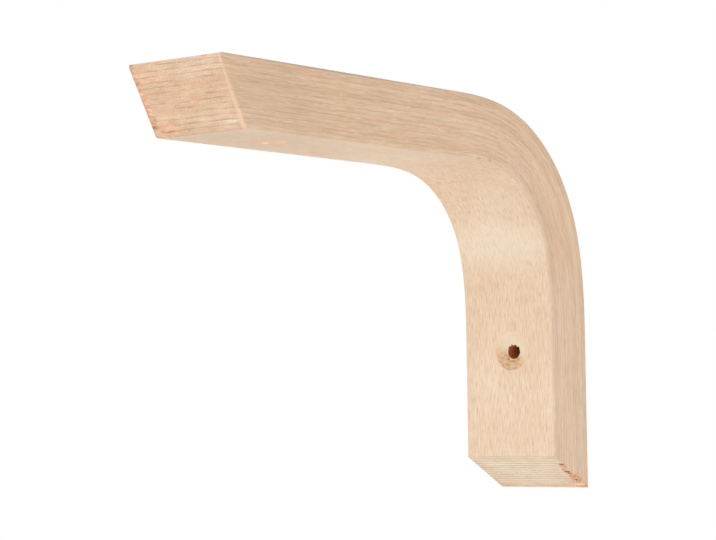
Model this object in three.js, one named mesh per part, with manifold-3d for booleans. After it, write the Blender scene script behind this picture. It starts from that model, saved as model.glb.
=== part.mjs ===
// A bentwood shelf bracket: one strip of beech veneers glued round a former, with three screw holes.
// Millimetres, +Z up. The wall is the plane y = 0 and the arm reaches out along -Y.
// The origin is on the back of the leg, at the middle of its flat stretch.

import * as THREE from 'three';
import { mergeVertices } from 'three/addons/utils/BufferGeometryUtils.js';
import Module from 'manifold-3d';

const height = 130; // from the foot's lowest edge to the top of the arm
const reach = 190; // from the wall to the tip of the arm, along its top, before its edge is rounded
const width = 36;
const thickness = 21; // fourteen veneers of 1.5 mm
const footCut = THREE.MathUtils.degToRad(28); // the ends are sawn this far from square
const tipCut = THREE.MathUtils.degToRad(30);

const bendRadius = 58; // of the outer face, in the middle of the bend
const legEasing = 46; // length over which the leg's straight face curls up to that radius
const armEasing = 36; // the same where the bend runs out into the arm
const bendSteps = 44;

const arris = 0.8; // rounding of the four long edges
const tipRound = 1; // rounding of the edges across the tip; the foot's are left sharp, as sawn
const cornerSteps = 3;
const arrisSteps = 2;

const originAboveFoot = 24;

const legHole = { bore: 5, sink: 13.5, sinkDepth: 1.4, aboveFoot: 47, aside: 1.2 };
const armHoles = { bore: 4, sink: 10, sinkDepth: 1.2, fromWall: [80, 146] };
const holeSides = 36;
const cutOverrun = 2; // how far a cutting tool runs past the surface

const beech = new THREE.MeshStandardMaterial({ color: 0xe3c7a8, roughness: 0.62, metalness: 0 });

const footRise = thickness * Math.tan(footCut);
const tipRise = thickness * Math.tan(tipCut);

// How sharply the outer face turns at a length along the bend: up evenly, constant, and down evenly.
function curvature(along, bendLength) {
  const rising = along / legEasing;
  const falling = (bendLength - along) / armEasing;
  return Math.min(rising, falling, 1) / bendRadius;
}

// Points of the outer face round the bend, from the leg up and over to the arm, each with its heading:
// 0 is straight up and a right angle is straight out from the wall.
function bend() {
  const bendLength = (Math.PI / 2) * bendRadius + (legEasing + armEasing) / 2;
  const finer = 20;
  const step = bendLength / (bendSteps * finer);
  const points = [{ y: 0, z: 0, heading: 0 }];
  let y = 0;
  let z = 0;
  let heading = 0;
  for (let i = 0; i < bendSteps * finer; i++) {
    const turn = curvature((i + 0.5) * step, bendLength) * step;
    y -= Math.sin(heading + turn / 2) * step;
    z += Math.cos(heading + turn / 2) * step;
    heading += turn;
    if ((i + 1) % finer === 0) points.push({ y, z, heading });
  }
  const lift = height - z;
  return points.map((p) => ({ y: p.y, z: p.z + lift, heading: p.heading }));
}

// An arc that takes the place of the corner between two straight edges.
function roundedTip(before, corner, after) {
  const inward = before.clone().sub(corner).normalize();
  const outward = after.clone().sub(corner).normalize();
  const halfAngle = inward.angleTo(outward) / 2;
  const middle = inward.clone().add(outward).normalize();
  const centre = corner.clone().addScaledVector(middle, tipRound / Math.sin(halfAngle));
  const tangent = tipRound / Math.tan(halfAngle);
  const start = corner.clone().addScaledVector(inward, tangent).sub(centre);
  const end = corner.clone().addScaledVector(outward, tangent).sub(centre);
  const sweep = start.cross(end) > 0 ? Math.PI - 2 * halfAngle : 2 * halfAngle - Math.PI;
  const points = [];
  for (let i = 0; i <= cornerSteps; i++) {
    const turned = start.clone().rotateAround(new THREE.Vector2(), (sweep * i) / cornerSteps);
    points.push(turned.add(centre));
  }
  return points;
}

// The bracket seen from its side, as (y, z) points with z measured from the foot's lowest edge.
function sideOutline() {
  const outer = bend();
  const inner = outer.map((p) => ({
    y: p.y - Math.cos(p.heading) * thickness,
    z: p.z - Math.sin(p.heading) * thickness,
  }));
  const asVector = (p) => new THREE.Vector2(p.y, p.z);
  const outerFace = outer.map(asVector);
  const innerFace = inner.map(asVector).reverse();
  const footBack = new THREE.Vector2(0, 0);
  const footFront = new THREE.Vector2(-thickness, footRise);
  const tipTop = new THREE.Vector2(-reach, height);
  const tipUnder = new THREE.Vector2(-reach + tipRise, height - thickness);
  return [
    footBack,
    ...outerFace,
    ...roundedTip(outerFace.at(-1), tipTop, tipUnder),
    ...roundedTip(tipTop, tipUnder, innerFace[0]),
    ...innerFace,
    footFront,
  ];
}

// The bent strip before drilling, with its long edges rounded.
function bentStrip() {
  const shape = new THREE.Shape(sideOutline());
  const strip = new THREE.ExtrudeGeometry(shape, {
    depth: width - 2 * arris,
    steps: 1,
    bevelEnabled: true,
    bevelThickness: arris,
    bevelSize: arris,
    bevelOffset: -arris,
    bevelSegments: arrisSteps,
  });
  const across = new THREE.Vector3(1, 0, 0);
  const towardsWall = new THREE.Vector3(0, 1, 0);
  const up = new THREE.Vector3(0, 0, 1);
  strip.translate(0, 0, -width / 2 + arris);
  strip.applyMatrix4(new THREE.Matrix4().makeBasis(towardsWall, up, across));
  return strip.translate(0, 0, -originAboveFoot);
}

// What a countersinking drill takes away: a bore with a shallow cone at its mouth, where y = 0.
// It goes down along -Y through the whole thickness.
function drilled({ bore, sink, sinkDepth }) {
  const bottom = -thickness - cutOverrun;
  const slope = (sink - bore) / 2 / sinkDepth;
  const rimOverrun = sink / 2 + slope * cutOverrun;
  const profile = [
    new THREE.Vector2(0, bottom),
    new THREE.Vector2(bore / 2, bottom),
    new THREE.Vector2(bore / 2, -sinkDepth),
    new THREE.Vector2(rimOverrun, cutOverrun),
    new THREE.Vector2(0, cutOverrun),
  ];
  return new THREE.LatheGeometry(profile, holeSides);
}

function toSolid(geometry) {
  const bare = new THREE.BufferGeometry();
  bare.setAttribute('position', geometry.getAttribute('position').clone());
  if (geometry.index) bare.setIndex(geometry.index.clone());
  const welded = mergeVertices(bare, 1e-4);
  return new wasm.Manifold(new wasm.Mesh({
    numProp: 3,
    vertProperties: Float32Array.from(welded.getAttribute('position').array),
    triVerts: Uint32Array.from(welded.index.array),
  }));
}

function toGeometry(solid) {
  const { vertProperties, triVerts } = solid.getMesh();
  const indexed = new THREE.BufferGeometry();
  indexed.setAttribute('position', new THREE.BufferAttribute(Float32Array.from(vertProperties), 3));
  indexed.setIndex(new THREE.BufferAttribute(Uint32Array.from(triVerts), 1));
  const faceted = indexed.toNonIndexed();
  faceted.computeVertexNormals();
  return faceted;
}

// The leg is drilled from its front face towards the wall, and the arm from below.
function drillings() {
  const legDrill = drilled(legHole).rotateX(Math.PI);
  legDrill.translate(legHole.aside, -thickness, legHole.aboveFoot - originAboveFoot);
  const armDrills = armHoles.fromWall.map((fromWall) => {
    const drill = drilled(armHoles).rotateX(-Math.PI / 2);
    return drill.translate(0, -fromWall, height - thickness - originAboveFoot);
  });
  return [legDrill, ...armDrills];
}

const wasm = await Module();
wasm.setup();

let solid = toSolid(bentStrip());
for (const drilling of drillings()) solid = solid.subtract(toSolid(drilling));

const bracket = new THREE.Mesh(toGeometry(solid), beech);
bracket.name = 'bracket';

const part = new THREE.Group();
part.add(bracket);

export default part;
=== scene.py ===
import math
import bpy
import numpy as np
from mathutils import Matrix, Vector, noise


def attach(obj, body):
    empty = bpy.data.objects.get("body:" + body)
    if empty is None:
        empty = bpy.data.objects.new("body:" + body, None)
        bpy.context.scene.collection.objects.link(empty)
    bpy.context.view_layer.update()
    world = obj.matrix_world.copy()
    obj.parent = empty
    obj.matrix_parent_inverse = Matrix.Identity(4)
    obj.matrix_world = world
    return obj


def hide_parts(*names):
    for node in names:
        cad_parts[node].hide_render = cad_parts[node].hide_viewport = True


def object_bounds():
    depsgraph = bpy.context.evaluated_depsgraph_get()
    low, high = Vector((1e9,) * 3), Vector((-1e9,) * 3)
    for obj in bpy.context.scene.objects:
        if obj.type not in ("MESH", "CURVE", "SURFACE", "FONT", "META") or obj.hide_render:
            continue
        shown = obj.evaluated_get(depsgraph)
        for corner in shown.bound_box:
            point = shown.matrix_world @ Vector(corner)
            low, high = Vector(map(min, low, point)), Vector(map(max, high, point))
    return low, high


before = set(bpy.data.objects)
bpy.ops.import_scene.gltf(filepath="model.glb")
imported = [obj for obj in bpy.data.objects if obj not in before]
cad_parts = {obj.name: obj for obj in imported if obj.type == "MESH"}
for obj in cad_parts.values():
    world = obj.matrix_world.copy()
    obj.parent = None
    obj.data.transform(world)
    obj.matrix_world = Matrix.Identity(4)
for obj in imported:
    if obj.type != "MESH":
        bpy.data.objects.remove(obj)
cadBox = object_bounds()

mm = 0.001
onFace = 0.05               # mm; a point this close to a face or a saw cut counts as on it

# the strip as it is bent and sawn, in mm unless it says otherwise
strip = {
    "height": 130,          # foot's lowest edge to the top of the arm
    "reach": 190,           # wall to the tip of the arm, along its top
    "width": 36,
    "thickness": 21,
    "veneers": 14,
    "footCut": 28,          # degrees from square
    "tipCut": 30,
    "bendRadius": 58,       # outer face, middle of the bend
    "legEasing": 46,
    "armEasing": 36,
    "arris": 0.8,           # rounding of the long edges
    "arrisSegments": 4,
    "tipRound": 1.03,       # rounding of the tip's upper edge, which the saw left at 60 degrees
    "footArris": 0.2,       # the foot's edges are left crisp
    "overlong": 6,          # how much the blank is too long at each end before it is sawn
    "ringStep": 2.4,        # spacing of the rings along the straight leg and arm
    "bendRings": 72,
    "endCell": 3,           # from a saw cut's inner edge to the first full ring
    "endCuts": 9,           # finer rings in that stretch
    "layerCuts": 83,        # between the rows of faces through the thickness, six to a veneer
    "widthCuts": 53,        # between the columns across the width
}

topZ = cadBox[1].z
footZ = topZ - strip["height"] * mm
wallY = cadBox[1].y
veneer = strip["thickness"] / strip["veneers"]
footCut = math.radians(strip["footCut"])
tipCut = math.radians(strip["tipCut"])
footRise = strip["thickness"] * math.tan(footCut)
tipRise = strip["thickness"] * math.tan(tipCut)
footRing = footRise + strip["endCell"]      # from the foot to the first full ring
tipRing = tipRise + strip["endCell"]        # from the last full ring to the tip


def bendCurve(count):
    # the outer face from the end of the straight leg to the start of the straight arm, as rows of
    # y, z, heading and length: the turn grows over the first easing, stays, and fades over the second
    legEasing, armEasing, radius = strip["legEasing"], strip["armEasing"], strip["bendRadius"]
    length = math.pi / 2 * radius + (legEasing + armEasing) / 2
    finer = 16              # steps from one row to the next
    along = np.linspace(0, length, count * finer + 1)
    middle = (along[1:] + along[:-1]) / 2
    turn = np.minimum(np.minimum(middle / legEasing, (length - middle) / armEasing), 1) / radius
    step = along[1] - along[0]
    heading = np.r_[0, np.cumsum(turn * step)]
    aim = (heading[1:] + heading[:-1]) / 2
    y = np.r_[0, np.cumsum(-np.sin(aim) * step)]
    z = np.r_[0, np.cumsum(np.cos(aim) * step)]
    z += strip["height"] - z[-1]
    return np.c_[y, z, heading, along][::finer]


fineCurve = bendCurve(600)
legFlat = fineCurve[0, 1]
bendLength = fineCurve[-1, 3]
stripLength = legFlat + bendLength + strip["reach"] + fineCurve[-1, 0]


def unbend(points):
    # where a point lies in the strip before it was bent, in mm: across, depth from the outer face, along
    x = points[:, 0] / mm
    y = (points[:, 1] - wallY) / mm
    z = (points[:, 2] - footZ) / mm
    depth, along = -y, z.copy()
    onArm = y < fineCurve[-1, 0]
    depth[onArm] = (strip["height"] - z)[onArm]
    along[onArm] = (legFlat + bendLength + fineCurve[-1, 0] - y)[onArm]
    inBend = np.flatnonzero((z > legFlat) & ~onArm)
    batch = 4000            # points at a time, to spare memory
    for part in np.array_split(inBend, max(1, len(inBend) // batch)):
        offY = y[part, None] - fineCurve[None, :, 0]
        offZ = z[part, None] - fineCurve[None, :, 1]
        near = np.argmin(offY ** 2 + offZ ** 2, axis=1)
        rows = np.arange(len(part))
        heading = fineCurve[near, 2]
        offY, offZ = offY[rows, near], offZ[rows, near]
        depth[part] = -(offY * np.cos(heading) + offZ * np.sin(heading))
        along[part] = legFlat + fineCurve[near, 3] - offY * np.sin(heading) + offZ * np.cos(heading)
    return np.c_[x, depth, along]


def meshPoints(piece):
    flat = np.empty(len(piece.data.vertices) * 3)
    piece.data.vertices.foreach_get("co", flat)
    return flat.reshape(-1, 3)


def useOnly(piece):
    if bpy.context.mode != "OBJECT":
        bpy.ops.object.mode_set(mode="OBJECT")
    bpy.ops.object.select_all(action="DESELECT")
    piece.select_set(True)
    bpy.context.view_layer.objects.active = piece


def pickEdges(piece, axis, longerThan, onlyEnds=False):
    # selects the long edges in one of the strip's own directions: 0 across, 1 deep, 2 along
    bpy.ops.mesh.select_mode(type="EDGE")
    bpy.ops.mesh.select_all(action="DESELECT")
    bpy.ops.object.mode_set(mode="OBJECT")
    place = unbend(meshPoints(piece))
    ends = [edge.vertices[:] for edge in piece.data.edges]
    first, second = place[[e[0] for e in ends]], place[[e[1] for e in ends]]
    wanted = np.abs(first - second)[:, axis] > longerThan
    if onlyEnds:
        middle = (first[:, 2] + second[:, 2]) / 2
        wanted &= (middle < footRing) | (middle > stripLength - tipRing)
    piece.data.edges.foreach_set("select", wanted)
    bpy.ops.object.mode_set(mode="EDIT")


def sawnGap(place, end):
    # how far along the grain a point is from the saw cut of the foot or the tip
    if end == "foot":
        return place[:, 2] - place[:, 1] * math.tan(footCut)
    return stripLength - place[:, 1] * math.tan(tipCut) - place[:, 2]


def easeEdges(piece):
    # the selected edges are rounded with sandpaper, those of the foot hardly at all
    atFoot = sawnGap(unbend(meshPoints(piece)), "foot") < onFace
    weights = np.zeros(len(piece.data.edges))
    for i, edge in enumerate(piece.data.edges):
        if edge.select:
            onFoot = atFoot[edge.vertices[0]] and atFoot[edge.vertices[1]]
            weights[i] = strip["footArris"] / strip["arris"] if onFoot else 1
    layer = piece.data.attributes.new("bevel_weight_edge", "FLOAT", "EDGE")
    layer.data.foreach_set("value", weights.astype(np.float32))
    bevel = piece.modifiers.new("sanding", "BEVEL")
    bevel.width = strip["arris"] * mm
    bevel.segments = strip["arrisSegments"]
    bevel.limit_method = "WEIGHT"
    bpy.ops.object.modifier_apply(modifier=bevel.name)


# the blank is drawn up the leg, round the former and out along the arm, a little too long,
# and then sawn at both ends
def bendStrip():
    width, thickness = strip["width"] * mm, strip["thickness"] * mm
    overlong = strip["overlong"]
    bpy.ops.object.select_all(action="DESELECT")
    bpy.ops.mesh.primitive_plane_add(size=1, location=(0, 0, 0))
    wood = bpy.context.object
    wood.name = "bentBeech"
    bpy.ops.object.mode_set(mode="EDIT")
    bpy.ops.transform.resize(value=(width, thickness, 1))
    start = footZ - overlong * mm
    bpy.ops.transform.translate(value=(0, wallY - thickness / 2, start))
    bend = bendCurve(strip["bendRings"])
    shortest = 0.5          # mm between the leg's last ring and the bend
    legRings = np.arange(footRing, legFlat - shortest, strip["ringStep"])
    armRings = np.arange(-bend[-1, 0] + strip["ringStep"], strip["reach"] - tipRing, strip["ringStep"])
    stations = [(0, -overlong, 0)]
    stations += [(0, z, 0) for z in legRings]
    stations += [tuple(row[:3]) for row in bend]
    stations += [(-out, strip["height"], math.pi / 2) for out in armRings]
    stations += [(-strip["reach"] - overlong, strip["height"], math.pi / 2)]
    for before, after in zip(stations, stations[1:]):
        move = (0, (after[0] - before[0]) * mm, (after[1] - before[1]) * mm)
        bpy.ops.mesh.extrude_region_move(TRANSFORM_OT_translate={"value": move})
        pivot = (0, wallY + after[0] * mm, footZ + after[1] * mm)
        bpy.ops.transform.rotate(value=before[2] - after[2], orient_axis="X", center_override=pivot)
    bpy.ops.mesh.select_all(action="SELECT")
    bpy.ops.mesh.bisect(plane_co=(0, wallY, footZ), plane_no=(0, -math.sin(footCut), -math.cos(footCut)),
                        use_fill=True, clear_outer=True)
    bpy.ops.mesh.select_all(action="SELECT")
    bpy.ops.mesh.bisect(plane_co=(0, wallY - strip["reach"] * mm, topZ),
                        plane_no=(0, -math.cos(tipCut), -math.sin(tipCut)), use_fill=True,
                        clear_outer=True)
    bpy.ops.mesh.select_all(action="SELECT")
    bpy.ops.mesh.remove_doubles(threshold=1e-6)     # metres
    bpy.ops.mesh.normals_make_consistent(inside=False)
    bpy.ops.mesh.select_mode(type="EDGE")
    bpy.ops.mesh.select_all(action="DESELECT")
    sharp = math.radians(40)
    bpy.ops.mesh.edges_select_sharp(sharpness=sharp)
    bpy.ops.object.mode_set(mode="OBJECT")
    easeEdges(wood)
    bpy.ops.object.mode_set(mode="EDIT")
    # rows through the veneers, columns across the width, and finer rings at the two ends
    most = 0.6              # an edge to be divided is at least this much of the full length
    pickEdges(wood, 1, most * strip["thickness"])
    bpy.ops.mesh.subdivide(number_cuts=strip["layerCuts"])
    pickEdges(wood, 0, most * strip["width"])
    bpy.ops.mesh.subdivide(number_cuts=strip["widthCuts"])
    pickEdges(wood, 2, most * strip["endCell"], onlyEnds=True)
    bpy.ops.mesh.subdivide(number_cuts=strip["endCuts"])
    bpy.ops.object.mode_set(mode="OBJECT")
    return wood


def easeTip(piece):
    # the tip's upper edge is sanded rounder than the bevel made it
    points = meshPoints(piece)
    radius = strip["tipRound"] * mm
    half = math.pi / 4 - tipCut / 2
    inward = np.array((math.cos(half), -math.sin(half)))
    centre = np.array((wallY - strip["reach"] * mm, topZ)) + inward * radius / math.sin(half)
    away = points[:, 1:] - centre
    distance = np.hypot(*away.T)
    facing = -(away @ inward) / np.maximum(distance, 1e-9)
    atTip = distance < 4 * radius       # leaves the rest of the strip alone
    outside = atTip & (distance > radius) & (facing > math.sin(half))
    points[outside, 1:] = centre + away[outside] * (radius / distance[outside])[:, None]
    piece.data.vertices.foreach_set("co", points.ravel())
    piece.data.update()


# where the saw tore fibres out: the end, the middle and half size across and deep, how far it runs up
# the grain and how deep it goes, all in mm, and how strongly its raw colour shows
tears = [
    {"end": "tip", "middle": (-17.6, 11), "half": (3, 15), "along": 1, "deep": 0.04, "colour": 0.7},
    {"end": "tip", "middle": (-13, 19.4), "half": (9, 3.2), "along": 0.8, "deep": 0.02, "colour": 0.35},
    {"end": "tip", "middle": (-17.7, 0.4), "half": (1.6, 1.6), "along": 1, "deep": 0.3, "colour": 1},
    {"end": "tip", "middle": (11.5, 0.2), "half": (1.4, 0.7), "along": 1.2, "deep": 0.25, "colour": 0.8},
    {"end": "foot", "middle": (16.4, 8), "half": (2.2, 6), "along": 0.8, "deep": 0.5, "colour": 1},
    {"end": "foot", "middle": (15.6, 2.3), "half": (3.2, 3.2), "along": 0.8, "deep": 0.45, "colour": 1},
    {"end": "foot", "middle": (16.8, 14.9), "half": (1.6, 2.2), "along": 0.5, "deep": 0.3, "colour": 1},
]
tearing = {
    "ragged": (0.9, 1.3, 0.35),     # waves per mm of a tear's outline: across, deep, along
    "fringe": 0.6,                  # how much the outline wanders, as a share of the tear's size
    "uneven": 1.1,                  # and how much its length along the grain does
    "splinters": (1.3, 1.9, 0.5),   # waves per mm of the fibres left standing in it
}
relief = {
    "glueGroove": 0.05,     # mm deep on the sawn ends
    "onSides": 0.4,         # of that on the sanded sides
    "grooveHalf": 0.28,
    "sawRipple": 0.014,     # the saw's own waves on the two cuts
    "ripplePitch": 2.9,
    "rippleSlant": 0.35,
}


def smoothStep(value, low, high):
    part = np.clip((value - low) / (high - low), 0, 1)
    return part * part * (3 - 2 * part)


def noiseAt(place, waves, seed):
    # Perlin noise at each point, with so many waves per mm in each direction of the strip; each seed
    # reads another part of the noise
    shift = Vector((seed * 7.31, seed * 3.17, seed * 5.53))
    spots = place * np.array(waves)
    return np.array([noise.noise(Vector(spot) + shift) for spot in spots])


def tornAmount(place, what):
    # how deep the fibres are torn out in mm, or how strongly they show, 0 on sound wood
    torn = np.zeros(len(place))
    for i, tear in enumerate(tears):
        gap = sawnGap(place, tear["end"])
        off = np.hypot(*[(place[:, k] - tear["middle"][k]) / tear["half"][k] for k in (0, 1)])
        # the ragged outline stays within these margins
        near = np.flatnonzero((gap < 1.6 * tear["along"]) & (off < 1.3))
        ragged = noiseAt(place[near], tearing["ragged"], i + 1)
        inside = 1.05 - off[near] + tearing["fringe"] * ragged
        reach = 1 - gap[near] / (tear["along"] * (1 + tearing["uneven"] * ragged))
        amount = smoothStep(inside, 0, 0.55) * smoothStep(reach, 0, 0.6)
        torn[near] = np.maximum(torn[near], tear[what] * amount)
    return torn


def carveRelief(piece):
    # glue lines, saw ripple and torn fibres, all pressed in from the finished surface
    points = meshPoints(piece)
    place = unbend(points)
    normals = np.empty(points.size)
    piece.data.vertices.foreach_get("normal", normals)
    normals = normals.reshape(-1, 3)
    sunk = np.zeros(len(points))
    onEnd = np.minimum(sawnGap(place, "foot"), sawnGap(place, "tip")) < onFace
    onSide = np.abs(place[:, 0]) > strip["width"] / 2 - onFace
    depth = place[:, 1]
    toLine = np.abs(depth / veneer - np.round(depth / veneer)) * veneer
    inner = (depth > veneer / 2) & (depth < strip["thickness"] - veneer / 2)
    groove = smoothStep(-toLine, -relief["grooveHalf"], 0) * inner
    sunk[onSide] += relief["onSides"] * relief["glueGroove"] * groove[onSide]
    sunk[onEnd] += relief["glueGroove"] * groove[onEnd]
    pitch = 2 * math.pi / relief["ripplePitch"]
    slant = place[onEnd, 0] + relief["rippleSlant"] * place[onEnd, 1]
    sunk[onEnd] += relief["sawRipple"] * (0.5 + 0.5 * np.sin(pitch * slant))
    # in a tear some fibres are left standing among deeper gaps
    torn = tornAmount(place, "deep")
    hurt = np.flatnonzero(torn > 0)
    splinters = noiseAt(place[hurt], tearing["splinters"], 9)
    sunk[hurt] += torn[hurt] * np.clip(0.55 + 1.4 * splinters, 0.05, 1)
    points -= normals * sunk[:, None] * mm
    piece.data.vertices.foreach_set("co", points.ravel())
    piece.data.update()


wood = bendStrip()
easeTip(wood)
carveRelief(wood)
print("strip bent, sawn and sanded:", len(wood.data.polygons), "faces")

# the drill with its countersink, and where it went in, in mm
holes = {
    "legBore": 5, "legSink": 13.5, "legDepth": 1.4,
    "armBore": 4, "armSink": 10, "armDepth": 1.2,
    "legAboveFoot": 47, "legAside": 1.2,
    "armFromWall": (80, 146),
    "sides": 96,            # flat facets round the drill
    "rings": 10,            # of the countersink, and of the bore just below it
}


def makeDrill(name, bore, sink, sinkDepth):
    # a cylinder whose upper end flares out to the countersink, pointing up through z = 0
    past = 1                # mm that the drill goes past both faces of the wood
    rings = holes["rings"]
    fineFrom = 3 * sinkDepth
    plain = strip["thickness"] + 2 * past - fineFrom
    bpy.ops.object.select_all(action="DESELECT")
    bpy.ops.mesh.primitive_cylinder_add(vertices=holes["sides"], radius=bore / 2 * mm,
                                        depth=plain * mm, location=(0, 0, 0))
    drill = bpy.context.object
    drill.name = name
    bpy.ops.object.mode_set(mode="EDIT")
    bpy.ops.transform.translate(value=(0, 0, -(fineFrom + plain / 2) * mm))
    bpy.ops.mesh.select_mode(type="FACE")
    bpy.ops.mesh.select_all(action="DESELECT")
    bpy.ops.object.mode_set(mode="OBJECT")
    for face in drill.data.polygons:
        face.select = face.normal.z > 0.9
    bpy.ops.object.mode_set(mode="EDIT")
    fineStep = (0, 0, 2 * sinkDepth / rings * mm)
    for i in range(rings):
        bpy.ops.mesh.extrude_region_move(TRANSFORM_OT_translate={"value": fineStep})
    slope = (sink - bore) / 2 / sinkDepth
    radius, step = bore / 2, (sinkDepth + past) / rings
    for i in range(rings):
        wider = (radius + slope * step) / radius
        radius += slope * step
        bpy.ops.mesh.extrude_region_move(TRANSFORM_OT_translate={"value": (0, 0, step * mm)})
        bpy.ops.transform.resize(value=(wider, wider, 1), center_override=(0, 0, 0))
    bpy.ops.object.mode_set(mode="OBJECT")
    return drill


def drillHole(drill, turn, place):
    # turns the drill about X, sets it at a hole and takes its shape out of the wood
    useOnly(drill)
    drill.data.transform(Matrix.Translation(place) @ Matrix.Rotation(turn, 4, "X"))
    useOnly(wood)
    hole = wood.modifiers.new("hole", "BOOLEAN")
    hole.operation = "DIFFERENCE"
    hole.solver = "EXACT"
    hole.object = drill
    bpy.ops.object.modifier_apply(modifier=hole.name)
    bpy.data.objects.remove(drill)


def drillAll():
    legDrill = makeDrill("legDrill", holes["legBore"], holes["legSink"], holes["legDepth"])
    legPlace = Vector((holes["legAside"] * mm, wallY - strip["thickness"] * mm,
                       footZ + holes["legAboveFoot"] * mm))
    drillHole(legDrill, math.pi / 2, legPlace)
    for out in holes["armFromWall"]:
        armDrill = makeDrill("armDrill", holes["armBore"], holes["armSink"], holes["armDepth"])
        armPlace = Vector((0, wallY - out * mm, topZ - strip["thickness"] * mm))
        drillHole(armDrill, math.pi, armPlace)


drillAll()
print("holes drilled:", len(wood.data.polygons), "faces")

# the same holes in the unbent strip
armAlong = legFlat + bendLength + fineCurve[-1, 0]
unbentHoles = [{"across": holes["legAside"], "along": holes["legAboveFoot"], "bore": holes["legBore"],
                "sink": holes["legSink"], "sinkDepth": holes["legDepth"]}]
unbentHoles += [{"across": 0, "along": armAlong + out, "bore": holes["armBore"],
                 "sink": holes["armSink"], "sinkDepth": holes["armDepth"]}
                for out in holes["armFromWall"]]
drilling = {
    "chatter": 0.05,        # mm; the countersink jumped a little as it cut
    "chatterCount": 13,     # jumps in one turn
    "chatterWaves": 1.1,    # per mm; how unevenly they come
    "boreFray": 0.5,        # mm; fibres broken back round the top of the bore
    "frayWaves": (3.1, 3.1, 0.2),       # per radius round the bore, and per mm down it
}


def aroundHole(place, hole):
    # how far across, along and outward a point lies from a hole's axis in the unbent strip
    u, v = place[:, 0] - hole["across"], place[:, 2] - hole["along"]
    return u, v, np.hypot(u, v)


def roughenHoles(piece):
    # the countersinks get the marks of the jumping cutter, and the bores a frayed upper rim
    points = meshPoints(piece)
    place = unbend(points)
    fromFace = strip["thickness"] - place[:, 1]
    rim = 0.02              # mm left alone at the countersink's outer rim
    side = np.array((1, 0, 0))
    for i, hole in enumerate(unbentHoles):
        u, v, radius = aroundHole(place, hole)
        angle = np.arctan2(v, u)
        sinkDepth = hole["sinkDepth"]
        deeper = np.array((0, 1, 0)) if i == 0 else np.array((0, 0, 1))
        upward = np.array((0, 0, 1)) if i == 0 else np.array((0, -1, 0))
        flare = np.flatnonzero((radius < hole["sink"] / 2 - rim) & (radius > hole["bore"] / 2 + onFace)
                               & (fromFace > rim) & (fromFace < sinkDepth + rim))
        rough = noiseAt(np.c_[u, v, fromFace][flare], (drilling["chatterWaves"],) * 3, 20 + i)
        wave = np.sin(drilling["chatterCount"] * angle[flare] + 3 * rough)
        low = smoothStep(-v[flare] / radius[flare], -0.4, 0.6)
        down = drilling["chatter"] * (0.4 + low) * (0.5 + 0.5 * wave) + 0.05 * np.clip(rough, 0, 1)
        points[flare] += deeper * (down * mm)[:, None]
        lip = np.flatnonzero((np.abs(radius - hole["bore"] / 2) < onFace)
                             & (fromFace > sinkDepth - onFace) & (fromFace < 3 * sinkDepth))
        ring = np.c_[np.cos(angle[lip]), np.sin(angle[lip]), fromFace[lip]]
        fray = np.clip(noiseAt(ring, drilling["frayWaves"], 30 + i) * 2.2, -0.4, 1)
        fray *= drilling["boreFray"] * smoothStep(v[lip], -2, 2)
        fray *= smoothStep(-fromFace[lip], -3 * sinkDepth, -sinkDepth)
        out = np.cos(angle[lip])[:, None] * side + np.sin(angle[lip])[:, None] * upward
        points[lip] -= out * (fray * mm)[:, None]
    piece.data.vertices.foreach_set("co", points.ravel())
    piece.data.update()


# patches on this strip, in its unbent place, some its own colour and some painted light and shade: the
# middle and half size across, deep and along in mm, and how strong each is
patches = {
    "blush": [          # peach and pink wood
        ((18, 2.0, 254), (4, 0.9, 10), 0.8),
        ((18, 1.6, 209), (4, 0.8, 9), 0.7),
        ((18, 10.8, 92), (4, 2.6, 20), 0.4),
        ((18, 16, 262), (4, 1.0, 7), 0.4),
        ((18, 10, 262), (4, 18, 34), 0.2),
        ((-17, 21, 136), (5, 2, 11), 0.8),
        ((0, 21, 150), (26, 3, 26), 0.15),
        ((-1.2, 21, 249.2), (7, 3, 12), 1),
        ((-4.4, 21, 48), (3, 2, 4.5), 0.5),
    ],
    "pale": [           # almost white wood, and painted light on the bend's inner face and low on the leg's side
        # partly paler wood, partly painted light: the low part of the bend's inner face, where the light
        # from the front and below falls
        ((1, 21, 92), (26, 3, 18), 0.95),
        ((8, 21, 115), (14, 3, 22), 0.4),
        ((18, 17.3, 127), (3, 0.35, 8), 1),
        ((18, 19.6, 118), (3, 0.9, 40), 0.6),
        ((13, 18.5, 282.2), (4, 0.7, 4), 0.85),
        ((-4.3, 21, 246.8), (1.7, 1, 1.4), 1),
        ((9, 2.5, 291), (16, 4, 4), 0.3),
        ((6, 18, 283), (13, 4, 4), 0.25),
        # painted light: the leg's side made paler low down, as if lit from below
        ((18, 12, 30), (4, 22, 70), 0.35),
        ((-2.4, 21, 183.4), (1.2, 1, 5.5), 0.6),
        ((0, 10, 6), (24, 18, 12), 0.9),
        ((0, 17, 9), (30, 10, 5), 0.9),
    ],
    "shade": [          # greyer and darker wood: dots, lines and a corner spot, and painted shade along the top outer edges, up the side near the tip and under the arm near the tip
        # painted shade along the top outer edges of the arm and the bend
        ((18, -0.3, 240), (2.6, 1.4, 75), 1),
        ((18, -0.3, 110), (2.6, 1.3, 110), 1),
        ((-17.8, 0.3, 292.6), (2, 1.8, 2.4), 1.25),
        ((0, 20.9, 11.2), (26, 0.35, 0.5), 0.35),
        # painted shade: the side darker towards the tip, away from the light from below
        ((18, 10, 268), (4, 16, 30), 0.2),
        ((18, 20.2, 157), (2, 0.6, 1.5), 0.9),
        ((18, 20.6, 164), (2, 0.5, 1.5), 0.9),
        ((18, 7.5, 57), (3, 0.6, 2.2), 0.6),
        ((18, 12, 79), (3, 0.5, 2.4), 0.5),
        # painted shade under the arm near the tip
        ((0, 21, 258), (30, 3, 50), 0.3),
    ],
}


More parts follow.
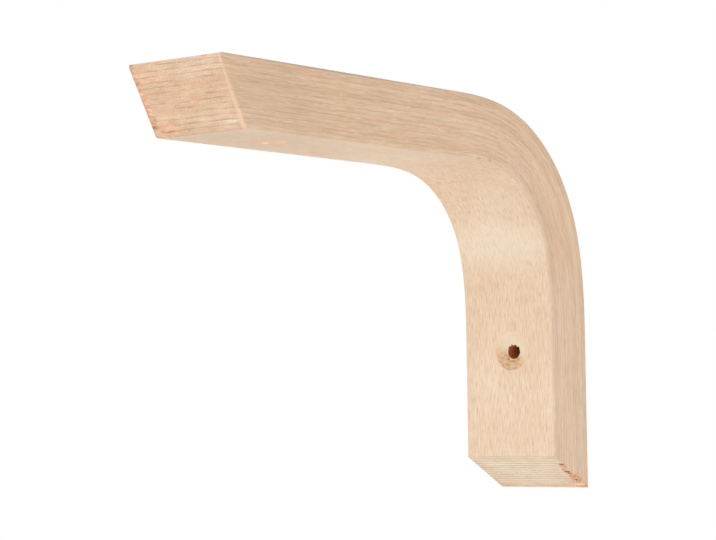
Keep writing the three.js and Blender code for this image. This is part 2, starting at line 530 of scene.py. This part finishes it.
def patchAmount(place, kind):
    full, gone = 0.25, 1.15     # shares of its half size where a patch starts to fade and is gone
    amount = np.zeros(len(place))
    for middle, half, strength in patches[kind]:
        off = (place - np.array(middle)) / np.array(half)
        distance = np.sqrt((off ** 2).sum(axis=1))
        amount = np.maximum(amount, strength * smoothStep(-distance, -gone, -full))
    return amount


def tipEdges(place):
    # the sanded edges between the tip's cut and the two sides: a peach strip on the near side, wider
    # lower down, partly sanded wood and partly a painted highlight, and painted shade on the far side's
    # edge
    atTip = smoothStep(-sawnGap(place, "tip"), -1.1, -0.4)
    near = smoothStep(place[:, 0] - 17.3 + 0.07 * place[:, 1], -0.5, 0.7)
    far = smoothStep(-place[:, 0], 16.8, 17.7)
    return 0.6 * atTip * near, 0.9 * atTip * far


def drillMarkAndShadeAmount(place):
    # 0 on a clean cut, about a half on the countersink's lower side, where the cutter scraped it and
    # shade is painted, 1 down in the bore
    drillMarkAndShade = np.zeros(len(place))
    fromFace = strip["thickness"] - place[:, 1]
    for i, hole in enumerate(unbentHoles):
        u, v, radius = aroundHole(place, hole)
        bore, sink, sinkDepth = hole["bore"] / 2, hole["sink"] / 2, hole["sinkDepth"]
        near = (radius < sink + 0.3) & (fromFace > 0.01)
        # the cutter scraped the lower side, most of all at the outer rim; being darker there is also
        # painted shade, as that side faces up
        below = smoothStep(-(v + 0.3 * u) / np.maximum(radius, 0.1), -0.3, 0.8)
        outward = radius / sink
        scraped = below * (0.28 * smoothStep(outward, 0.46, 0.58) + 0.42 * smoothStep(outward, 0.9, 0.96))
        # a brown crescent just below the bore, partly painted shade, with a clean rim between
        scraped = np.where(radius < bore + 0.9, 0.5 * below, scraped)
        scraped = np.where(radius < bore + 0.2, 0.2 * below, scraped)
        # the small holes in the arm were cut clean
        amount = scraped if i == 0 else np.full(len(place), 0.04)
        inBore = smoothStep(fromFace, sinkDepth + 0.02, sinkDepth + 0.5) * (radius < bore + 0.2)
        drillMarkAndShade = np.where(near, np.maximum(amount, inBore), drillMarkAndShade)
    return drillMarkAndShade


def rimBlend(place):
    # on its right the leg's countersink runs out so flat that it looks like the face beside it
    hole = unbentHoles[0]
    u, v, radius = aroundHole(place, hole)
    radius = np.maximum(radius, 0.1)
    fromFace = strip["thickness"] - place[:, 1]
    inside = (radius < hole["sink"] / 2 + 0.3) & (fromFace < hole["sinkDepth"] + 0.3) & (fromFace > 0.01)
    toRight = smoothStep((u + 0.4 * v) / radius, 0.1, 0.8)
    return inside * toRight * smoothStep(radius, hole["bore"] / 2 + 1.2, hole["sink"] / 2 - 0.4)


def holeTears(place):
    # fibres lifted round the outer hole under the arm, drawn out along the grain
    torn = np.zeros(len(place))
    hole = unbentHoles[-1]
    u, v = aroundHole(place, hole)[:2]
    off = np.hypot((u + 0.8) / (hole["sink"] * 0.42), v / (hole["sink"] * 0.62))
    near = np.flatnonzero((off < 1.2) & (place[:, 1] > strip["thickness"] - 2.5))
    ragged = noiseAt(place[near], (0.9, 0.4, 0.25), 40)
    torn[near] = 0.35 * smoothStep(1.05 - off[near] + 0.6 * ragged, 0, 0.6)
    return torn


def storeWood(piece):
    # what the materials read at each point: its place in the unbent strip in mm, so that the grain
    # follows the bend, the torn fibres, the drill's marks with painted shade on the leg countersink's
    # lower side, and this strip's own patches, some of them painted light and shade
    place = unbend(meshPoints(piece))
    data = piece.data
    torn = np.maximum(tornAmount(place, "colour"), holeTears(place))
    drillMarkAndShade = drillMarkAndShadeAmount(place)
    marks = np.c_[[patchAmount(place, kind) for kind in ("blush", "pale", "shade")]].T
    # the tip's near edge partly a painted highlight, its far edge painted shade
    nearEdge, farEdgeShade = tipEdges(place)
    marks[:, 0] = np.maximum(marks[:, 0], nearEdge)
    marks[:, 2] = np.maximum(np.maximum(marks[:, 2], farEdgeShade), rimBlend(place))
    # kept just inside the outer veneers, so that rounding can't put a point into another one
    inset = 0.02
    place[:, 1] = np.clip(place[:, 1], inset, strip["thickness"] - inset)
    for name, values in (("grain", place), ("marks", marks)):
        layer = data.attributes.new(name, "FLOAT_VECTOR", "POINT")
        layer.data.foreach_set("vector", np.ascontiguousarray(values, dtype=np.float32).ravel())
    for name, values in (("torn", torn), ("drillMarkAndShade", drillMarkAndShade)):
        layer = data.attributes.new(name, "FLOAT", "POINT")
        layer.data.foreach_set("value", values.astype(np.float32))


roughenHoles(wood)
storeWood(wood)


def linear(hexColour):
    channels = [int(hexColour[i:i + 2], 16) / 255 for i in (1, 3, 5)]
    return [c / 12.92 if c <= 0.04045 else ((c + 0.055) / 1.055) ** 2.4 for c in channels] + [1]


def addNode(tree, kind, inputs=None, **settings):
    node = tree.nodes.new(kind)
    for name, value in settings.items():
        setattr(node, name, value)
    for name, value in (inputs or {}).items():
        if isinstance(value, bpy.types.NodeSocket):
            tree.links.new(value, node.inputs[name])
        else:
            node.inputs[name].default_value = value
    return node


def newMaterial(name):
    material = bpy.data.materials.new(name)
    material.use_nodes = True
    material.node_tree.nodes.clear()
    return material, material.node_tree


# colours of bare beech in sRGB
beech = {
    "brown": "#bb9474",         # the sanded sides, from dark to light
    "tan": "#d6b596",
    "cream": "#e9d1b4",
    "faceBrown": "#bf9c7e",     # the sanded wide faces, paler and less red than the sides: partly their grain, partly painted light from the front
    "faceTan": "#d8bb9e",
    "faceCream": "#e6d3bb",
    "blush": "#dfad89",         # patches and marks on both
    "pale": "#e0d0b8",
    "shade": "#a58b74",
    "glue": "#a67c60",
    "darkFleck": "#ad8262",
    "lightFleck": "#eedbc2",
    "endTan": "#bc9778",        # the sawn ends
    "endCream": "#dcbd9f",
    "endPink": "#cc9779",
    "endLine": "#976a4b",
    # paler in part as a painted highlight on the tip's rounded near edge
    "endSandedAndLit": "#e3bf9f",
    "paleTan": "#d0b99d",
    "paleCream": "#e9dbc4",
    "torn": "#d08a57",          # torn fibres
    # painted shade for the gaps among torn fibres and in the bore
    "tornGapShade": "#6e3a1e",
    "tornPale": "#ecd5b9",
    "cutPale": "#dbc8ac",       # the countersinks and bores; their golden and brown are also painted shade on the leg countersink's lower side
    "cutGolden": "#c29468",
    "cutBrown": "#8a5d3b",
    "bore": "#d08048",
}


# how big each pattern's grains are in the real wood, in mm: in the first four across and along the
# grain of the surface that is seen, and in the others across, deep and along in the unbent strip,
# with 0 for no change that way. Beech's own fibres and pores are under 0.1 mm wide, too fine to be
# seen from here, so the finest pattern is coarser and stands for bundles of them
grains = {
    "fibre": (0.303, 5),            # fine streaks
    "streak": (0.5882, 13.33),      # the growth rings cut lengthways
    "thread": (0.4348, 5),          # thin brown lines on the wide faces
    "rayFleck": (0.3571, 4),        # the small spindles that beech is known by
    "glueWobble": (6.25, 10, 20),   # how the glue lines stray
    "glueFade": (7.143, 1.429, 10),     # and where they fade out
    "broad": (20, 12.5, 35.71),     # slow change of tone
    "blush": (14.29, 2.222, 20),    # pink patches
    "endRings": (3.333, 0.3846, 0),     # growth rings cut across
    "endSpeckle": (0.7692, 0.4545, 0),
    "endCloud": (9.091, 6.25, 0),
    "endPink": (6.667, 1.429, 0),
    "pore": (0.5263, 0.5263, 0.5263),
    "splinter": (3.333, 1.333, 3.333),  # lumps of torn fibre
    "drillMottle": (1.429, 0.6667, 0.5882),
    "drillFibre": (0.3333, 1, 5),
}


def scaled(tree, source, name):
    # the place counted in grains of a pattern
    sizes = grains[name] + (0,) * (3 - len(grains[name]))
    perMm = [1 / size if size else 0 for size in sizes]
    return addNode(tree, "ShaderNodeVectorMath", {0: source, 1: perMm}, operation="MULTIPLY").outputs[0]


def grainNoise(tree, source, name, detail, roughness=0.5):
    spot = scaled(tree, source, name)
    return addNode(tree, "ShaderNodeTexNoise", {"Vector": spot, "Scale": 1, "Detail": detail,
                                                "Roughness": roughness}).outputs["Fac"]


# what all the wood shares: the place in the unbent strip, the veneer it belongs to, glue lines
# between veneers, broad changes of tone and pink patches
def woodFigure(tree):
    grain = addNode(tree, "ShaderNodeAttribute", attribute_name="grain").outputs["Vector"]
    across, depth, along = addNode(tree, "ShaderNodeSeparateXYZ", {0: grain}).outputs
    inVeneers = addNode(tree, "ShaderNodeMath", {0: depth, 1: veneer}, operation="DIVIDE").outputs[0]
    layer = addNode(tree, "ShaderNodeMath", {0: inVeneers}, operation="FLOOR").outputs[0]
    chance = addNode(tree, "ShaderNodeTexWhiteNoise", {"W": layer}, noise_dimensions="1D")
    # each veneer is cut from another part of the log, so its figure is shifted by up to so many mm
    shift = addNode(tree, "ShaderNodeVectorMath", {0: chance.outputs["Color"], 1: (35, 0, 260)},
                    operation="MULTIPLY").outputs[0]
    own = addNode(tree, "ShaderNodeVectorMath", {0: grain, 1: shift}, operation="ADD").outputs[0]
    # 0 on the faces of the outer veneers, 1 on the strip's sides, where all the veneers are seen edge on
    edgeOn = addNode(tree, "ShaderNodeMath", {0: across}, operation="ABSOLUTE").outputs[0]
    edgeOn = addNode(tree, "ShaderNodeMapRange", {"Value": edgeOn, "From Min": strip["width"] / 2 - 0.7,
                                                  "From Max": strip["width"] / 2 - 0.1}).outputs[0]
    # the place on the visible surface: mm across the grain and mm along it
    sideways = addNode(tree, "ShaderNodeMix", {0: edgeOn, 2: across, 3: depth}).outputs[0]
    shifts = addNode(tree, "ShaderNodeSeparateXYZ", {0: shift}).outputs
    sideways = addNode(tree, "ShaderNodeMath", {0: sideways, 1: shifts[0]}, operation="ADD").outputs[0]
    lengthways = addNode(tree, "ShaderNodeMath", {0: along, 1: shifts[2]}, operation="ADD").outputs[0]
    surface = addNode(tree, "ShaderNodeCombineXYZ", {0: sideways, 1: lengthways}).outputs[0]
    # glue lines about 0.3 mm wide between the veneers, straying up to 0.4 mm; each fades in and out
    wobble = grainNoise(tree, grain, "glueWobble", 3)
    waved = addNode(tree, "ShaderNodeMath", {0: wobble, 1: 0.8, 2: depth},
                    operation="MULTIPLY_ADD").outputs[0]
    waved = addNode(tree, "ShaderNodeMath", {0: waved, 1: 0.4}, operation="SUBTRACT").outputs[0]
    toLine = addNode(tree, "ShaderNodeMath", {0: waved, 1: veneer / 2}, operation="PINGPONG").outputs[0]
    line = addNode(tree, "ShaderNodeMapRange", {"Value": toLine, "From Min": 0.04, "From Max": 0.28,
                                                "To Min": 1, "To Max": 0},
                   interpolation_type="SMOOTHSTEP").outputs[0]
    # none on the two outer faces
    half = strip["thickness"] / 2
    within = addNode(tree, "ShaderNodeMath", {0: depth, 1: half, 2: half - veneer / 2},
                     operation="COMPARE").outputs[0]
    line = addNode(tree, "ShaderNodeMath", {0: line, 1: within}, operation="MULTIPLY").outputs[0]
    fade = grainNoise(tree, own, "glueFade", 3)
    fade = addNode(tree, "ShaderNodeMapRange", {"Value": fade, "From Min": 0.42,
                                                "From Max": 0.6}).outputs[0]
    broken = addNode(tree, "ShaderNodeMath", {0: line, 1: fade}, operation="MULTIPLY").outputs[0]
    marks = addNode(tree, "ShaderNodeAttribute", attribute_name="marks").outputs["Vector"]
    return {
        "grain": grain, "own": own, "surface": surface, "edgeOn": edgeOn, "line": line, "broken": broken,
        "layerTone": chance.outputs["Value"],
        "broad": grainNoise(tree, grain, "broad", 2),
        "blush": grainNoise(tree, own, "blush", 1),
        "torn": addNode(tree, "ShaderNodeAttribute", attribute_name="torn").outputs["Fac"],
        "marks": addNode(tree, "ShaderNodeSeparateXYZ", {0: marks}).outputs,
    }


def rayFlecks(tree, figure):
    # half of the spindles are dark to some degree and a few are light
    spot = scaled(tree, figure["surface"], "rayFleck")
    spindle = addNode(tree, "ShaderNodeTexVoronoi", {"Vector": spot, "Scale": 1, "Randomness": 1},
                      voronoi_dimensions="2D")
    body = addNode(tree, "ShaderNodeMapRange", {"Value": spindle.outputs["Distance"], "From Min": 0.05,
                                                "From Max": 0.5, "To Min": 1, "To Max": 0},
                   interpolation_type="SMOOTHSTEP").outputs[0]
    pick = addNode(tree, "ShaderNodeSeparateColor", {0: spindle.outputs["Color"]}).outputs[0]
    flecks = []
    for first, last in ((0.5, 1), (0.35, 0.1)):
        chosen = addNode(tree, "ShaderNodeMapRange", {"Value": pick, "From Min": first,
                                                      "From Max": last}).outputs[0]
        flecks.append(addNode(tree, "ShaderNodeMath", {0: body, 1: chosen},
                              operation="MULTIPLY").outputs[0])
    return flecks


def weighted(tree, parts, base):
    # adds up sockets, each with its weight, on top of a base value
    total = base
    for socket, weight in parts:
        total = addNode(tree, "ShaderNodeMath", {0: socket, 1: weight, 2: total},
                        operation="MULTIPLY_ADD").outputs[0]
    return total


def tinted(tree, colour, amount, tint, strength):
    # lays a colour of the beech table over another, by amount
    part = addNode(tree, "ShaderNodeMath", {0: amount, 1: strength}, operation="MULTIPLY",
                   use_clamp=True).outputs[0]
    return addNode(tree, "ShaderNodeMix", {0: part, 6: colour, 7: linear(beech[tint])},
                   data_type="RGBA").outputs[2]


def toneRamp(tree, value, names, places):
    ramp = addNode(tree, "ShaderNodeValToRGB", {0: value})
    ramp.color_ramp.elements[0].position = places[0]
    ramp.color_ramp.elements[1].position = places[-1]
    for place in places[1:-1]:
        ramp.color_ramp.elements.new(place)
    for element, name in zip(ramp.color_ramp.elements, names):
        element.color = linear(beech[name])
    return ramp.outputs["Color"]


def tornWood(tree, figure, colour):
    # broken fibres are raw orange-brown, with painted shade in the gaps between them and pale broken tips
    lumps = grainNoise(tree, figure["grain"], "splinter", 2, 0.55)
    lumps = weighted(tree, [(figure["torn"], 0.12), (lumps, 1)], 0)
    for first, last, tint, strength in ((0.0, 0.01, "torn", 0.8), (0.53, 0.45, "tornPale", 0.8),
                                        (0.65, 0.7, "tornGapShade", 0.95)):
        part = addNode(tree, "ShaderNodeMapRange", {"Value": lumps, "From Min": first,
                                                    "From Max": last}).outputs[0]
        part = addNode(tree, "ShaderNodeMath", {0: part, 1: figure["torn"]},
                       operation="MULTIPLY").outputs[0]
        colour = tinted(tree, colour, part, tint, strength)
    return colour


def finish(tree, colour, height, roughness):
    # bare wood: IOR 1.5 and rough, its surface uneven by less than the 0.05 mm of the bump distance
    bump = addNode(tree, "ShaderNodeBump", {"Height": height, "Strength": 0.6, "Distance": 0.05 * mm})
    shader = addNode(tree, "ShaderNodeBsdfPrincipled", {"Base Color": colour, "Roughness": roughness,
                                                        "IOR": 1.5, "Normal": bump.outputs[0]})
    addNode(tree, "ShaderNodeOutputMaterial", {"Surface": shader.outputs[0]})


# beech veneers glued in a bend, sanded and left bare: matt cream to tan, each veneer its own tone,
# with fine streaks and flecks that follow the bend
def beechSanded():
    material, tree = newMaterial("beechSanded")
    figure = woodFigure(tree)
    darkFleck, lightFleck = rayFlecks(tree, figure)
    fibre = grainNoise(tree, figure["surface"], "fibre", 1)
    streak = grainNoise(tree, figure["surface"], "streak", 3, 0.6)
    sideTone = weighted(tree, [(streak, 0.9), (fibre, 0.35), (figure["layerTone"], 0.2),
                               (figure["broad"], 0.5)], -0.47)
    side = toneRamp(tree, sideTone, ("brown", "tan", "cream"), (0.0, 0.5, 1.0))
    # the wide faces get their own paler, less red ramp: partly their grain, partly painted light from the
    # front
    faceTone = weighted(tree, [(streak, 0.35), (fibre, 0.8), (figure["broad"], 0.5)], -0.3)
    face = toneRamp(tree, faceTone, ("faceBrown", "faceTan", "faceCream"), (0.0, 0.5, 1.0))
    thread = grainNoise(tree, figure["surface"], "thread", 2, 0.6)
    thread = addNode(tree, "ShaderNodeMapRange", {"Value": thread, "From Min": 0.46,
                                                  "From Max": 0.32}).outputs[0]
    face = tinted(tree, face, thread, "faceBrown", 0.7)
    colour = addNode(tree, "ShaderNodeMix", {0: figure["edgeOn"], 6: face, 7: side},
                     data_type="RGBA").outputs[2]
    # the pink patches show on the sides alone
    blush = addNode(tree, "ShaderNodeMapRange", {"Value": figure["blush"], "From Min": 0.52,
                                                 "From Max": 0.8, "To Max": figure["edgeOn"]}).outputs[0]
    # the marks bring the tip's near edge, partly a painted highlight, and the pale patches, partly
    # painted light
    for amount, tint, strength in ((blush, "blush", 0.5), (figure["marks"][0], "blush", 0.6),
                                   (figure["marks"][1], "pale", 0.6), (darkFleck, "darkFleck", 0.36),
                                   (lightFleck, "lightFleck", 0.3), (figure["broken"], "glue", 0.4)):
        colour = tinted(tree, colour, amount, tint, strength)
    colour = tornWood(tree, figure, colour)
    # the shade patches: marks in the wood, and painted shade on the top outer edges, up the side, under
    # the arm and on the tip's far edge
    colour = tinted(tree, colour, figure["marks"][2], "shade", 0.75)
    height = weighted(tree, [(fibre, 0.8), (darkFleck, -0.5), (figure["broken"], -0.6)], 0)
    roughness = weighted(tree, [(fibre, 0.15), (lightFleck, -0.1)], 0.52)
    finish(tree, colour, height, roughness)
    return material


# beech sawn across the veneers: end grain drinks the light, so it is darker and warmer than the faces
def beechSawn():
    material, tree = newMaterial("beechSawn")
    figure = woodFigure(tree)
    rings = grainNoise(tree, figure["own"], "endRings", 3, 0.65)
    speckle = grainNoise(tree, figure["grain"], "endSpeckle", 2, 0.6)
    cloud = grainNoise(tree, figure["grain"], "endCloud", 2)
    pores = addNode(tree, "ShaderNodeTexVoronoi", {"Vector": scaled(tree, figure["grain"], "pore"),
                                                   "Scale": 1})
    pores = addNode(tree, "ShaderNodeMapRange", {"Value": pores.outputs["Distance"], "From Min": 0.1,
                                                 "From Max": 0.4, "To Min": 1, "To Max": 0}).outputs[0]
    tone = weighted(tree, [(rings, 1.1), (figure["layerTone"], 0.12), (speckle, 0.9), (cloud, 1)], -1.05)
    warm = toneRamp(tree, tone, ("endTan", "endCream"), (0.1, 0.9))
    pale = toneRamp(tree, tone, ("paleTan", "paleCream"), (0.1, 0.9))
    colour = addNode(tree, "ShaderNodeMix", {0: figure["marks"][1], 6: warm, 7: pale},
                     data_type="RGBA").outputs[2]
    pink = grainNoise(tree, figure["grain"], "endPink", 2)
    pink = addNode(tree, "ShaderNodeMapRange", {"Value": pink, "From Min": 0.5,
                                                "From Max": 0.68}).outputs[0]
    # where the wood is pale it has no pink and the glue lines show unbroken
    pink = addNode(tree, "ShaderNodeMix", {0: figure["marks"][1], 2: pink, 3: 0.0}).outputs[0]
    line = weighted(tree, [(figure["broken"], 0.75)], 0)
    line = addNode(tree, "ShaderNodeMix", {0: figure["marks"][1], 2: line, 3: figure["line"]}).outputs[0]
    # the first marks channel brings the tip's near edge, pale in part as a painted highlight
    for amount, tint, strength in ((pink, "endPink", 0.6), (pores, "endLine", 0.2),
                                   (line, "endLine", 0.65), (figure["marks"][0], "endSandedAndLit", 1.3)):
        colour = tinted(tree, colour, amount, tint, strength)
    colour = tornWood(tree, figure, colour)
    # the shade patches: marks in the wood, and painted shade on the tip's far edge and the top outer
    # edges
    colour = tinted(tree, colour, figure["marks"][2], "shade", 0.75)
    height = weighted(tree, [(rings, 0.8), (pores, -0.6), (line, -1)], 0)
    finish(tree, colour, height, 0.7)
    return material


# beech cut by the drill: pale where it sliced clean, golden and fuzzy where it scraped and where shade is
# painted on the countersink's lower side, dark in the bore, with painted shade in its gaps
def beechDrilled():
    material, tree = newMaterial("beechDrilled")
    figure = woodFigure(tree)
    mottle = grainNoise(tree, figure["grain"], "drillMottle", 3, 0.65)
    fibre = grainNoise(tree, figure["grain"], "drillFibre", 2)
    # the drill's marks, with painted shade on the countersink's lower side
    drillMarkAndShade = addNode(tree, "ShaderNodeAttribute", attribute_name="drillMarkAndShade").outputs["Fac"]
    uneven = weighted(tree, [(mottle, 4.5)], -1.25)
    value = addNode(tree, "ShaderNodeMath", {0: drillMarkAndShade, 1: uneven}, operation="MULTIPLY").outputs[0]
    whole = addNode(tree, "ShaderNodeMath", {0: drillMarkAndShade, 1: 0.95}, operation="GREATER_THAN").outputs[0]
    value = addNode(tree, "ShaderNodeMath", {0: value, 1: whole}, operation="MAXIMUM").outputs[0]
    colour = toneRamp(tree, value, ("cutPale", "cutGolden", "cutBrown", "bore"), (0.0, 0.4, 0.8, 1.0))
    clean = addNode(tree, "ShaderNodeMapRange", {"Value": drillMarkAndShade, "From Max": 0.3, "To Min": 1,
                                                 "To Max": 0}).outputs[0]
    thread = addNode(tree, "ShaderNodeMapRange", {"Value": fibre, "From Min": 0.45, "From Max": 0.65,
                                                  "To Max": clean}).outputs[0]
    # painted shade in the gaps down the bore
    gap = addNode(tree, "ShaderNodeMapRange", {"Value": mottle, "From Min": 0.48, "From Max": 0.62,
                                               "To Max": whole}).outputs[0]
    for amount, tint, strength in ((thread, "faceTan", 0.6), (figure["marks"][2], "faceTan", 0.8),
                                   (figure["marks"][0], "blush", 0.65),
                                   (figure["marks"][1], "tornPale", 0.8), (gap, "tornGapShade", 0.65)):
        colour = tinted(tree, colour, amount, tint, strength)
    height = weighted(tree, [(mottle, 1.5)], 0)
    finish(tree, colour, height, 0.75)
    return material


def dressWood(piece):
    # each face gets the finish that its tool left, with a crisp edge between two finishes
    sanded, sawn, drilled = 0, 1, 2
    for material in (beechSanded(), beechSawn(), beechDrilled()):
        piece.data.materials.append(material)
    faces = piece.data.polygons
    middles = np.empty(len(faces) * 3)
    normals = np.empty(len(faces) * 3)
    faces.foreach_get("center", middles)
    faces.foreach_get("normal", normals)
    place, normals = unbend(middles.reshape(-1, 3)), normals.reshape(-1, 3)
    toFoot = (0, -math.sin(footCut), -math.cos(footCut))
    toTip = (0, -math.cos(tipCut), -math.sin(tipCut))
    facing = np.maximum(normals @ toFoot, normals @ toTip)
    fromFoot, fromTip = sawnGap(place, "foot"), sawnGap(place, "tip")
    straight = 0.985        # cosine of 10 degrees
    kind = np.full(len(faces), sanded)
    kind[(np.minimum(fromFoot, fromTip) < 0.5) & (facing > straight)] = sawn
    # sanding has rounded the tip's long edges, but their wood still looks sawn; on the near side the
    # rounded edge looks sanded
    kind[(fromTip < 1) & (facing > 0.6) & (np.abs(normals[:, 0]) < 0.2)] = sawn
    kind[(fromTip < 1) & (place[:, 0] > 17)] = sanded
    for i, hole in enumerate(unbentHoles):
        radius = aroundHole(place, hole)[2]
        alongAxis = np.abs(normals[:, 1 if i == 0 else 2])
        kind[(radius < hole["sink"] / 2 + 0.1) & (alongAxis < straight)] = drilled
    faces.foreach_set("material_index", kind)
    useOnly(piece)
    bpy.ops.object.shade_smooth_by_angle(angle=math.radians(30))


dressWood(wood)
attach(wood, "root")
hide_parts("bracket")
print("wood dressed")

# metres and watts
studio = {
    "floorDrop": 0.5,       # below the foot
    "floorSize": 12,
    "floorColour": "#f4f4f2",
    "floorGlow": 0.12,
    "worldStrength": 1.0,
    "keySize": 0.9,
    "keyPower": 3.6,
    "keyColour": (0.92, 1, 1.08),       # a little cool
    "keyPlace": (-0.35, -1.2, 0.02),
    "keyAim": (0, -0.08, 0.04),
}


def buildStudio():
    white = (1, 1, 1, 1)
    floorZ = footZ - studio["floorDrop"]
    bpy.ops.object.select_all(action="DESELECT")
    bpy.ops.mesh.primitive_plane_add(size=studio["floorSize"], location=(0, 0, floorZ))
    floor = bpy.context.object
    floor.name = "paleFloor"
    # matt white paper, glowing faintly so that it stays as bright as the room
    material, tree = newMaterial("whitePaper")
    shader = addNode(tree, "ShaderNodeBsdfPrincipled", {"Base Color": linear(studio["floorColour"]),
                                                        "Roughness": 0.9, "Emission Color": white,
                                                        "Emission Strength": studio["floorGlow"]})
    addNode(tree, "ShaderNodeOutputMaterial", {"Surface": shader.outputs[0]})
    floor.data.materials.append(material)
    world = bpy.data.worlds.new("softRoom")
    bpy.context.scene.world = world
    world.use_nodes = True
    background = world.node_tree.nodes["Background"]
    background.inputs["Color"].default_value = white
    background.inputs["Strength"].default_value = studio["worldStrength"]
    lamp = bpy.data.lights.new("softBox", "AREA")
    lamp.size = studio["keySize"]
    lamp.energy = studio["keyPower"]
    lamp.color = studio["keyColour"]
    key = bpy.data.objects.new("softBox", lamp)
    key.location = studio["keyPlace"]
    aim = Vector(studio["keyAim"]) - key.location
    key.rotation_euler = aim.to_track_quat("-Z", "Y").to_euler()
    bpy.context.scene.collection.objects.link(key)
    bpy.context.scene.view_settings.view_transform = "Standard"


buildStudio()

view = {
    "place": (450.2, -682.8, 29.3),     # mm, height counted from the foot's lowest edge
    "azimuth": 37.89,       # degrees
    "elevation": -3.33,
    "roll": -0.83,
    "lens": 117.29,         # mm, with the sensor's width
    "sensor": 36,
}


def buildCamera():
    azimuth, elevation, roll = (math.radians(view[k]) for k in ("azimuth", "elevation", "roll"))
    back = Vector((math.sin(azimuth) * math.cos(elevation), -math.cos(azimuth) * math.cos(elevation),
                   math.sin(elevation)))
    level = Vector((math.cos(azimuth), math.sin(azimuth), 0))
    upright = back.cross(level)
    right = math.cos(roll) * level + math.sin(roll) * upright
    up = -math.sin(roll) * level + math.cos(roll) * upright
    data = bpy.data.cameras.new("camera")
    data.lens = view["lens"]
    data.sensor_width = view["sensor"]
    camera = bpy.data.objects.new("camera", data)
    bpy.context.scene.collection.objects.link(camera)
    camera.matrix_world = Matrix((right, up, back)).transposed().to_4x4()
    x, y, z = view["place"]
    camera.location = (x * mm, wallY + y * mm, footZ + z * mm)
    bpy.context.scene.camera = camera


buildCamera()
print("studio and camera set")
